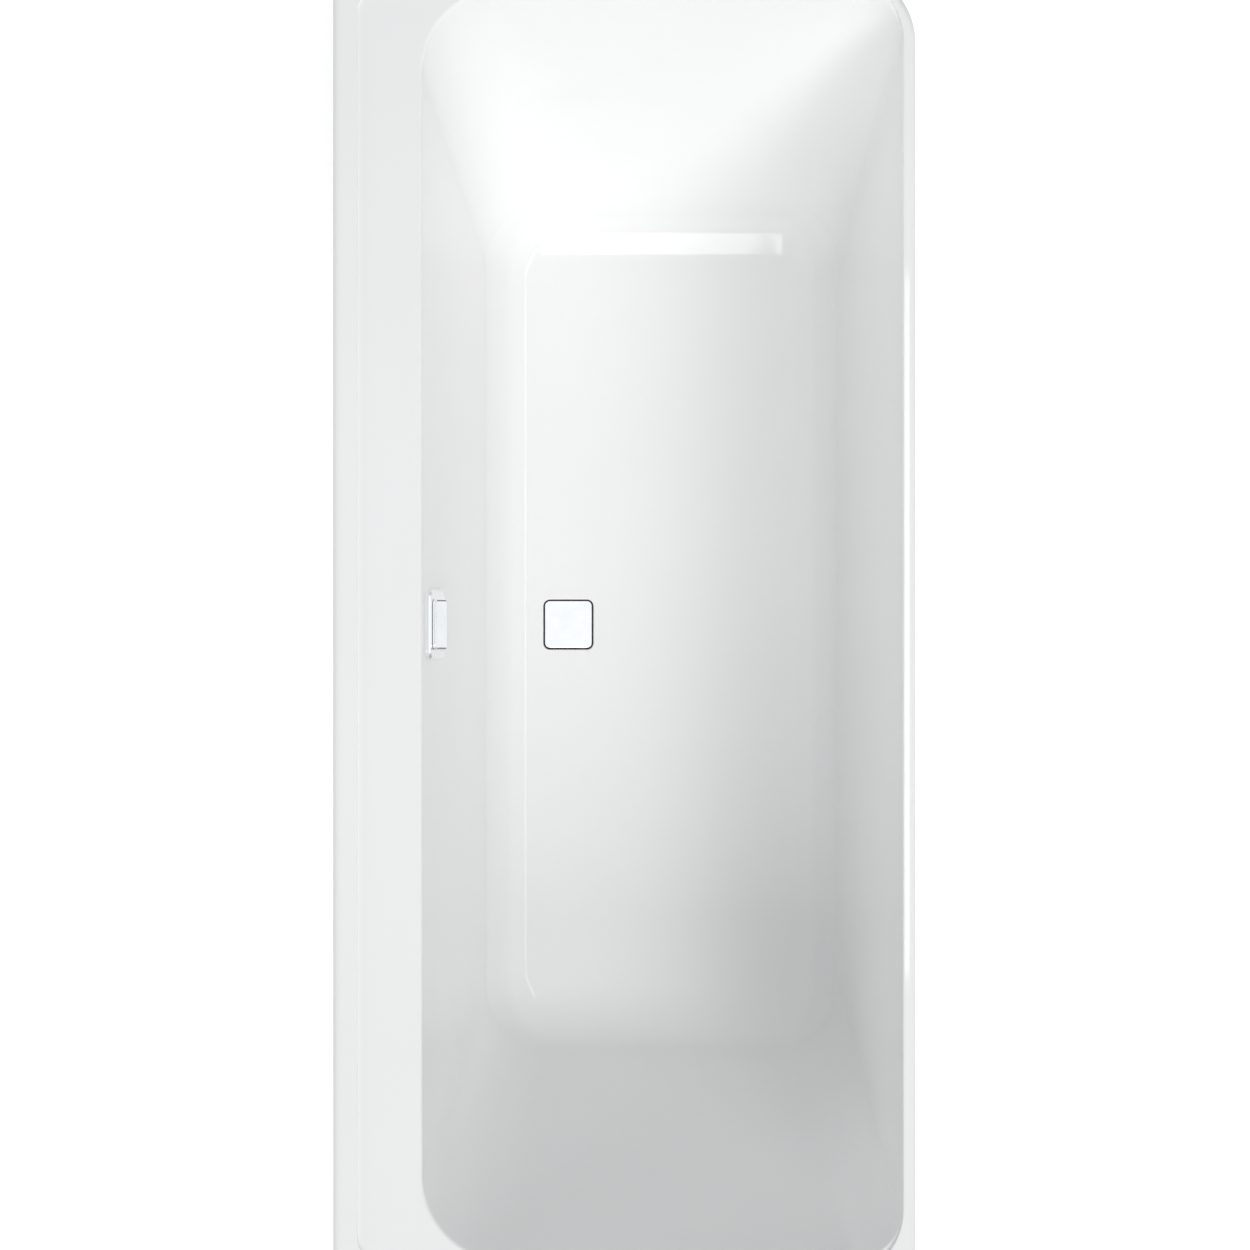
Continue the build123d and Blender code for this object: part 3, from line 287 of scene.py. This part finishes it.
def step_ring(shrink, front_shrink, z):
    """Ring round the inner edge of the raised rim, where it steps down to the deck. Along the
    front it runs into the basin's wall, and the front corners are quarter ellipses."""
    edge_x = shell_high.x - end_edge - shrink
    turn_x = lip_x - lip_front_corner
    front = (edge_x - turn_x, lip_front_corner - front_shrink)
    wall = (deck_wall_corner - shrink, deck_wall_corner - shrink)
    return ring(
        -edge_x,
        edge_x,
        lip_low_y + front_shrink,
        shell_high.y - wall_edge - shrink,
        (front, wall, wall, front),
        z,
    )


def edge_rings():
    """Outside of the rim, from its lower edge up over the raised edge and down to the deck."""
    rings = [outer_ring(0, 0, rim_top - rim_drop), outer_ring(0, 0, rim_top - rim_band)]
    for angle in quarter_turn(edge_steps):
        rings.append(
            outer_ring(
                front_roundover * (1 - cos(angle)),
                wall_roundover * (1 - cos(angle)),
                rim_top - front_roundover * (1 - sin(angle)),
            )
        )
    step_edge = step_ring(-2 * step_round, -edge_front_hold, rim_top)
    rings.append(mix_rings(rings[-1], step_edge, edge_hold))
    front_rise = edge_height * tan(side_lean)
    for angle in quarter_turn(step_steps):
        shrink = step_round * (sin(angle) - 1)
        drop = step_round * (1 - cos(angle))
        rings.append(step_ring(shrink, shrink - front_rise, rim_top - drop))
    for angle in quarter_turn(step_steps):
        rise = step_round * (1 - sin(angle))
        back = rise * tan(side_lean)
        rings.append(step_ring(step_round * (1 - cos(angle)), -back, deck_z + rise))
    return rings


def lip_depths():
    """Depths below the deck at which the rounded lip has a ring."""
    turn = pi / 2 - side_lean
    return [lip_round * (1 - cos(turn * step / lip_steps)) for step in range(lip_steps + 1)]


def wall_heights(skin):
    """Heights of the wall's rings above the inside floor, from the top down."""
    knee = side_foot - (side_foot + skin) * sin(side_lean)
    end_knee = end_foot - (end_foot + skin) * sin(end_lean)
    top = basin_depth - (acrylic if skin else lip_reach)
    turn = pi / 2 - side_lean
    heights = [top + (knee - top) * step / wall_steps for step in range(wall_steps)]
    foot_angles = [turn * step / foot_steps for step in range(foot_steps, -1, -1)]
    heights += [side_foot - (side_foot + skin) * cos(angle) for angle in foot_angles]
    heights.append(end_knee)
    return sorted(heights, reverse=True)


def recess_ring(spread, z):
    """Square ring of the waste's recess, made larger by spread."""
    half = recess_half + spread
    corner = (recess_corner + spread, recess_corner + spread)
    return ring(
        drain_x - half, drain_x + half, drain_y - half, drain_y + half, (corner,) * 4, z
    )


def hole_ring(z):
    """Round ring of the waste hole, whose points face those of the square recess."""
    points = []
    for x, y, _ in recess_ring(0, z):
        away = Vector((x - drain_x, y - drain_y))
        away.length = waste_hole
        points.append((drain_x + away.x, drain_y + away.y, z))
    return points


def shell_rings():
    """All rings of the shell, from the rim's lower edge over its inside face and back below."""
    recess_z = floor_z - recess_depth
    below_recess = recess_z - recess_skin
    below_floor = floor_z - acrylic
    rings = edge_rings()
    rings += [basin_ring(basin_depth - depth, 0) for depth in lip_depths()]
    rings += [basin_ring(height, 0) for height in wall_heights(0)]
    mouth = recess_ring(recess_round, floor_z)
    shares = [step / floor_steps for step in range(1, floor_steps)] + [mouth_hold]
    rings += [mix_rings(basin_ring(0, 0), mouth, share) for share in shares]
    for angle in quarter_turn(step_steps):
        drop = recess_round * (1 - cos(angle))
        rings.append(recess_ring(recess_round * (1 - sin(angle)), floor_z - drop))
    for angle in quarter_turn(step_steps):
        rise = recess_round * (1 - sin(angle))
        rings.append(recess_ring(-recess_round * (1 - cos(angle)), recess_z + rise))
    rings += [hole_ring(recess_z), hole_ring(below_recess)]
    rings += [recess_ring(recess_skin, below_recess), recess_ring(recess_skin, below_floor)]
    below = list(reversed([basin_ring(height, acrylic) for height in wall_heights(acrylic)]))
    rings += [mix_rings(rings[-1], below[0], 0.5), *below]
    rings.append(basin_ring(basin_depth - acrylic, acrylic))
    rings += [outer_ring(rim_skin, rim_skin, deck_z - acrylic)]
    rings += [outer_ring(rim_skin, rim_skin, rim_top - rim_drop)]
    return rings


def mesh_from_rings(name, rings):
    """Closed mesh through rings of equally many points, the last one joined to the first."""
    count = len(rings[0])
    points = [point for one in rings for point in one]
    faces = []
    for level in range(len(rings)):
        above = level * count
        below = (level + 1) % len(rings) * count
        for step in range(count):
            beside = (step + 1) % count
            faces.append((above + step, above + beside, below + beside, below + step))
    mesh = bpy.data.meshes.new(name)
    mesh.from_pydata(points, [], faces)
    mesh.validate()
    return mesh


def add_object(name, data):
    """Object of a mesh, curve, lamp or camera, linked into the scene."""
    piece = bpy.data.objects.new(name, data)
    bpy.context.scene.collection.objects.link(piece)
    return piece


def smooth(piece, crease=crease_angle):
    """Smooth shading with sharp creases, where large faces keep their own direction."""
    piece.data.shade_smooth()
    piece.data.set_sharp_from_angle(angle=crease)
    weighted = piece.modifiers.new("weighted", "WEIGHTED_NORMAL")
    weighted.keep_sharp = True


def turned_ring(centre, along, radius):
    """Ring of points round a direction that lies in a plane of constant x."""
    across = Vector((1, 0, 0))
    up = across.cross(along).normalized()
    turns = [2 * pi * step / round_steps for step in range(round_steps)]
    return [centre + across * radius * cos(turn) + up * radius * sin(turn) for turn in turns]


def cut_overflow_hole(shell):
    """Bores the overflow's hole through the wall, square to it."""
    middle = Vector((0, lip_high_y - (deck_z - overflow_z) * tan(side_lean), overflow_z))
    out = Vector((0, cos(side_lean), -sin(side_lean)))
    profile = (
        (-cutter_reach, cutter_core),
        (-cutter_reach, overflow_hole),
        (cutter_reach, overflow_hole),
        (cutter_reach, cutter_core),
    )
    rings = [turned_ring(middle + out * reach, out, radius) for reach, radius in profile]
    cutter = add_object("cutter", mesh_from_rings("cutter", rings))
    bore = shell.modifiers.new("bore", "BOOLEAN")
    bore.object = cutter
    bore.solver = "EXACT"
    shaped = shell.evaluated_get(bpy.context.evaluated_depsgraph_get())
    whole = shell.data
    shell.data = bpy.data.meshes.new_from_object(shaped)
    shell.modifiers.remove(bore)
    bpy.data.meshes.remove(whole)
    bpy.data.objects.remove(cutter)


def make_shell():
    """The moulded tub with its rounded rim, lip and recess."""
    shell = add_object("shell", mesh_from_rings("shell", shell_rings()))
    cut_overflow_hole(shell)
    smooth(shell)
    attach(shell, "bath")
    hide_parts("bath_shell")
    return shell


def route_points(places):
    """Points along the smooth line that control points draw."""
    curve = bpy.data.curves.new("route", "CURVE")
    curve.dimensions = "3D"
    curve.resolution_u = route_steps
    line = curve.splines.new("NURBS")
    line.points.add(len(places) - 1)
    for point, place in zip(line.points, places):
        point.co = (*place, 1)
    line.order_u = 3
    line.use_endpoint_u = True
    holder = add_object("route", curve)
    mesh = bpy.data.meshes.new_from_object(holder)
    points = [vertex.co.copy() for vertex in mesh.vertices]
    bpy.data.objects.remove(holder)
    bpy.data.curves.remove(curve)
    bpy.data.meshes.remove(mesh)
    return points


def even_stations(points, gap):
    """Places and directions at even gaps along a line of points, with the length so far."""
    stations = []
    done = 0.0
    for first, second in zip(points, points[1:]):
        step = second - first
        while len(stations) * gap <= done + step.length:
            reach = (len(stations) * gap - done) / step.length
            stations.append((first + step * reach, step.normalized(), len(stations) * gap))
        done += step.length
    return stations, done


def make_hose():
    """Corrugated overflow hose with a smooth cuff at each end."""
    stations, length = even_stations(route_points(hose_route), hose_pitch / fold_steps)
    outside = []
    inside = []
    for place, along, done in stations:
        fade = min(max((min(done, length - done) - hose_cuff) / hose_pitch, 0.0), 1.0)
        groove = hose_groove * fade * (1 - cos(2 * pi * done / hose_pitch)) / 2
        outside.append(turned_ring(place, along, hose_radius - groove))
        inside.append(turned_ring(place, along, hose_bore))
    hose = add_object("hose", mesh_from_rings("hose", outside + inside[::-1]))
    smooth(hose)
    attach(hose, "bath")
    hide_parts("overflow_hose")
    return hose


def make_rod(number):
    """Threaded rod of one leg, pointed at both ends."""
    low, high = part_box(f"leg_rod_{number}")
    middle = (low + high) / 2
    radius = (high.x - low.x) / 2
    up = Vector((0, 0, 1))
    turns = int((high.z - low.z) / thread_pitch)
    core = radius - thread_depth
    crest_start, crest_end = (thread_pitch * share for share in thread_crest)
    profile = [(low.z, rod_point)]
    for turn in range(turns):
        z = low.z + (high.z - low.z) * turn / turns
        profile += [(z, core), (z + crest_start, radius), (z + crest_end, radius)]
    profile += [(high.z, core), (high.z, rod_point)]
    rings = [turned_ring(Vector((middle.x, middle.y, z)), up, wide) for z, wide in profile]
    rod = add_object(f"threaded_rod_{number}", mesh_from_rings("rod", rings))
    smooth(rod, thread_crease)
    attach(rod, f"leg_{number}")
    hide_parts(f"leg_rod_{number}")
    return rod


def soften_nodes(left_out):
    """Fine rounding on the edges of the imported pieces, but for the named ones."""
    for name, node in frame["nodes"].items():
        if name in left_out:
            continue
        join = node.modifiers.new("join", "WELD")
        join.merge_threshold = weld_gap
        edges = node.modifiers.new("edges", "BEVEL")
        edges.width = edge_bevel
        edges.segments = 2
        edges.limit_method = "ANGLE"
        edges.angle_limit = bevel_angle
        shade = node.modifiers.new("shade", "WEIGHTED_NORMAL")
        shade.keep_sharp = True


# Materials


def new_material(name):
    """Empty node material with one surface shader, and the parts to build on it."""
    material = bpy.data.materials.new(name)
    material.use_nodes = True
    tree = material.node_tree
    shader = tree.nodes["Principled BSDF"]
    return material, tree, shader


def place_texture(tree, scale):
    """Object coordinates, stretched by a scale along each axis."""
    coordinates = tree.nodes.new("ShaderNodeTexCoord")
    mapping = tree.nodes.new("ShaderNodeMapping")
    mapping.inputs["Scale"].default_value = scale
    tree.links.new(coordinates.outputs["Object"], mapping.inputs["Vector"])
    return mapping.outputs["Vector"]


def noise(tree, scale, detail=4.0, stretch=(1, 1, 1)):
    """Noise with features of about one metre divided by scale."""
    texture = tree.nodes.new("ShaderNodeTexNoise")
    texture.inputs["Scale"].default_value = scale
    texture.inputs["Detail"].default_value = detail
    tree.links.new(place_texture(tree, stretch), texture.inputs["Vector"])
    return texture.outputs["Fac"]


def ramp(tree, value, low, high, low_color, high_color):
    """Two colours, mixed by a value between low and high."""
    blend = tree.nodes.new("ShaderNodeValToRGB")
    blend.color_ramp.elements[0].position = low
    blend.color_ramp.elements[1].position = high
    blend.color_ramp.elements[0].color = (*low_color, 1)
    blend.color_ramp.elements[1].color = (*high_color, 1)
    tree.links.new(value, blend.inputs["Fac"])
    return blend.outputs["Color"]


def roughness(tree, shader, value, low, high):
    """Roughness between low and high, varied by a value."""
    spread = tree.nodes.new("ShaderNodeMapRange")
    spread.inputs["To Min"].default_value = low
    spread.inputs["To Max"].default_value = high
    tree.links.new(value, spread.inputs["Value"])
    tree.links.new(spread.outputs["Result"], shader.inputs["Roughness"])


def bump(tree, shader, value, height):
    """Relief of a height in metres, drawn by a value."""
    relief = tree.nodes.new("ShaderNodeBump")
    relief.inputs["Strength"].default_value = 1.0
    relief.inputs["Distance"].default_value = height
    tree.links.new(value, relief.inputs["Height"])
    tree.links.new(relief.outputs["Normal"], shader.inputs["Normal"])


def speckled(name, low_color, high_color, grain, rough, relief, metallic=0.0, stretch=(1, 1, 1)):
    """General material: two close colours in a grain, uneven gloss and a fine relief."""
    material, tree, shader = new_material(name)
    pattern = noise(tree, grain, stretch=stretch)
    tree.links.new(
        ramp(tree, pattern, 0.35, 0.65, low_color, high_color), shader.inputs["Base Color"]
    )
    roughness(tree, shader, pattern, *rough)
    bump(tree, shader, pattern, relief)
    shader.inputs["Metallic"].default_value = metallic
    return material


def acrylic_material(name, color):
    """Clear gloss over white sheet, very faintly uneven as moulded acrylic is."""
    material, tree, shader = new_material(name)
    drift = noise(tree, 3.0, 2.0)
    darker = tuple(part * 0.985 for part in color)
    tree.links.new(ramp(tree, drift, 0.3, 0.7, darker, color), shader.inputs["Base Color"])
    roughness(tree, shader, noise(tree, 40.0), 0.03, 0.06)
    bump(tree, shader, noise(tree, 9.0, 1.0), 0.0002)
    shader.inputs["IOR"].default_value = 1.49
    return material


def zinc_material():
    """Zinc plating: a soft spangle under fine scratches."""
    material, tree, shader = new_material("zinc_steel")
    cells = tree.nodes.new("ShaderNodeTexVoronoi")
    cells.inputs["Scale"].default_value = 160.0
    tree.links.new(place_texture(tree, (1, 1, 1)), cells.inputs["Vector"])
    tint = ramp(tree, cells.outputs["Distance"], 0.1, 0.9, (0.62, 0.64, 0.66), (0.48, 0.5, 0.53))
    tree.links.new(tint, shader.inputs["Base Color"])
    roughness(tree, shader, noise(tree, 300.0), 0.25, 0.42)
    bump(tree, shader, noise(tree, 900.0, stretch=(1, 0.1, 1)), 0.00003)
    shader.inputs["Metallic"].default_value = 1.0
    return material


def board_material():
    """Sealed chipboard: flat flakes of several woods."""
    material, tree, shader = new_material("board")
    cells = tree.nodes.new("ShaderNodeTexVoronoi")
    cells.inputs["Scale"].default_value = 260.0
    tree.links.new(place_texture(tree, (1, 0.5, 1)), cells.inputs["Vector"])
    split = tree.nodes.new("ShaderNodeSeparateColor")
    tree.links.new(cells.outputs["Color"], split.inputs["Color"])
    flakes = ramp(tree, split.outputs["Red"], 0.0, 1.0, (0.36, 0.23, 0.12), (0.66, 0.49, 0.30))
    tree.links.new(flakes, shader.inputs["Base Color"])
    roughness(tree, shader, split.outputs["Green"], 0.45, 0.7)
    bump(tree, shader, cells.outputs["Distance"], 0.0002)
    return material


def plywood_material():
    """Plywood strip: long grain over thin plies."""
    material, tree, shader = new_material("batten")
    plies = tree.nodes.new("ShaderNodeTexWave")
    plies.bands_direction = "Z"
    plies.inputs["Scale"].default_value = 90.0
    plies.inputs["Distortion"].default_value = 0.6
    tree.links.new(place_texture(tree, (1, 1, 1)), plies.inputs["Vector"])
    grain = noise(tree, 60.0, stretch=(0.05, 1, 1))
    tint = tree.nodes.new("ShaderNodeMix")
    tint.data_type = "RGBA"
    tint.inputs["Factor"].default_value = 0.35
    tree.links.new(
        ramp(tree, grain, 0.3, 0.7, (0.55, 0.38, 0.21), (0.72, 0.55, 0.35)), tint.inputs["A"]
    )
    tree.links.new(
        ramp(tree, plies.outputs["Fac"], 0.4, 0.6, (0.40, 0.26, 0.14), (0.74, 0.58, 0.38)),
        tint.inputs["B"],
    )
    tree.links.new(tint.outputs["Result"], shader.inputs["Base Color"])
    roughness(tree, shader, grain, 0.5, 0.7)
    bump(tree, shader, grain, 0.0002)
    return material


# Colours, grain, roughness, relief and, where they differ, metallic and stretch
speckles = {
    "chrome": ((0.84, 0.86, 0.88), (0.87, 0.89, 0.91), 60.0, (0.02, 0.03), 0.000001, 1.0),
    "white_pp": ((0.74, 0.74, 0.72), (0.82, 0.82, 0.8), 700.0, (0.38, 0.5), 0.00004),
    "grey_pp": ((0.17, 0.175, 0.18), (0.22, 0.225, 0.23), 700.0, (0.4, 0.55), 0.00004),
    "black_rubber": (
        (0.018, 0.018, 0.018), (0.035, 0.035, 0.035), 500.0, (0.6, 0.85), 0.0001
    ),
    "spring_steel": (
        (0.4, 0.41, 0.43), (0.55, 0.56, 0.58), 250.0, (0.25, 0.4), 0.00002, 1.0, (1, 1, 0.05)
    ),
    "rail_aluminium": (
        (0.7, 0.7, 0.71), (0.8, 0.8, 0.81), 200.0, (0.3, 0.45), 0.00003, 1.0, (0.04, 0.04, 1)
    ),
    "sheath": ((0.03, 0.03, 0.032), (0.05, 0.05, 0.053), 600.0, (0.35, 0.5), 0.00005),
    "brass": ((0.6, 0.46, 0.2), (0.7, 0.56, 0.28), 300.0, (0.2, 0.35), 0.00002, 1.0),
}


def make_materials():
    """One procedural material for each of the record's slots."""
    materials = {
        "acrylic": acrylic_material("acrylic", (0.87, 0.87, 0.87)),
        "apron_acrylic": acrylic_material("apron_acrylic", (0.86, 0.86, 0.86)),
        "zinc_steel": zinc_material(),
        "board": board_material(),
        "batten": plywood_material(),
    }
    for name, settings in speckles.items():
        materials[name] = speckled(name, *settings)
    return materials


def dress(piece, material):
    """Gives a piece one material in place of any it has."""
    piece.data.materials.clear()
    piece.data.materials.append(material)


# Studio


def is_seen(tree):
    """One for rays from the camera, off gloss and through glass, nought for the light itself."""
    path = tree.nodes.new("ShaderNodeLightPath")
    seen = path.outputs["Is Camera Ray"]
    for ray in ("Is Glossy Ray", "Is Transmission Ray"):
        either = tree.nodes.new("ShaderNodeMath")
        either.operation = "MAXIMUM"
        tree.links.new(seen, either.inputs[0])
        tree.links.new(path.outputs[ray], either.inputs[1])
        seen = either.outputs["Value"]
    return seen


def make_world():
    """Even soft light from all round, and plain white for the camera and for reflections."""
    world = bpy.data.worlds.new("studio")
    bpy.context.scene.world = world
    world.use_nodes = True
    tree = world.node_tree
    soft = tree.nodes["Background"]
    soft.inputs["Color"].default_value = (0.97, 0.985, 1.0, 1)
    soft.inputs["Strength"].default_value = fill_strength
    white = tree.nodes.new("ShaderNodeBackground")
    white.inputs["Color"].default_value = (1, 1, 1, 1)
    white.inputs["Strength"].default_value = white_strength
    switch = tree.nodes.new("ShaderNodeMixShader")
    tree.links.new(is_seen(tree), switch.inputs["Fac"])
    tree.links.new(soft.outputs["Background"], switch.inputs[1])
    tree.links.new(white.outputs["Background"], switch.inputs[2])
    tree.links.new(switch.outputs["Shader"], tree.nodes["World Output"].inputs["Surface"])


def make_floor():
    """Plain pale floor under the tub, which keeps the tub's shadow."""
    sides = ((-1, -1), (1, -1), (1, 1), (-1, 1))
    corners = [(floor_half * x, floor_half * y, -floor_gap) for x, y in sides]
    mesh = bpy.data.meshes.new("floor")
    mesh.from_pydata(corners, [], [(0, 1, 2, 3)])
    floor = add_object("floor", mesh)
    material, tree, shader = new_material("floor")
    shader.inputs["Base Color"].default_value = (0.82, 0.82, 0.82, 1)
    shader.inputs["Roughness"].default_value = 0.9
    glow = tree.nodes.new("ShaderNodeEmission")
    glow.inputs["Strength"].default_value = floor_glow
    both = tree.nodes.new("ShaderNodeAddShader")
    switch = tree.nodes.new("ShaderNodeMixShader")
    output = tree.nodes["Material Output"]
    tree.links.new(shader.outputs["BSDF"], both.inputs[0])
    tree.links.new(glow.outputs["Emission"], both.inputs[1])
    tree.links.new(is_seen(tree), switch.inputs["Fac"])
    tree.links.new(shader.outputs["BSDF"], switch.inputs[1])
    tree.links.new(both.outputs["Shader"], switch.inputs[2])
    tree.links.new(switch.outputs["Shader"], output.inputs["Surface"])
    floor.data.materials.append(material)


def add_light(name, place, target, size, power, shine):
    """Soft rectangular lamp that faces a target and that the camera doesn't see. Shine tells
    whether it only shows in reflections or only lights."""
    data = bpy.data.lights.new(name, "AREA")
    data.shape = "RECTANGLE"
    data.size, data.size_y = size
    data.energy = power
    lamp = add_object(name, data)
    away = Vector(target) - Vector(place)
    lamp.location = place
    lamp.rotation_euler = away.to_track_quat("-Z", "Y").to_euler()
    lamp.visible_camera = False
    lamp.visible_glossy = shine
    lamp.visible_diffuse = not shine


def make_camera():
    """Camera straight above, far away, framed as the photograph crops the tub."""
    data = bpy.data.cameras.new("camera")
    data.lens = camera_lens
    data.sensor_width = 36.0
    data.clip_end = camera_reach
    camera = add_object("camera", data)
    camera.location = (camera_x, camera_y, rim_top + camera_rise)
    camera.rotation_euler = (0, 0, -pi / 2)
    bpy.context.scene.camera = camera


make_camera()
materials = make_materials()
for row in frame["record"]["subparts"]:
    dress(frame["nodes"][row["node"]], materials[row["material_slot"]])
dress(make_shell(), materials["acrylic"])
dress(make_hose(), materials["grey_pp"])
legs = (1, 2, 3, 4)
for leg in legs:
    dress(make_rod(leg), materials["zinc_steel"])
replaced = {"bath_shell", "overflow_hose", *(f"leg_rod_{leg}" for leg in legs)}
mirrors = {"cover_plate", "overflow_base", "overflow_knob", "waste_flange"}
soften_nodes(replaced | mirrors | {"end_brackets", "bracket_pads"})
make_world()
make_floor()
for lamp in lamps:
    add_light(*lamp)
bpy.context.scene.view_settings.view_transform = "Standard"
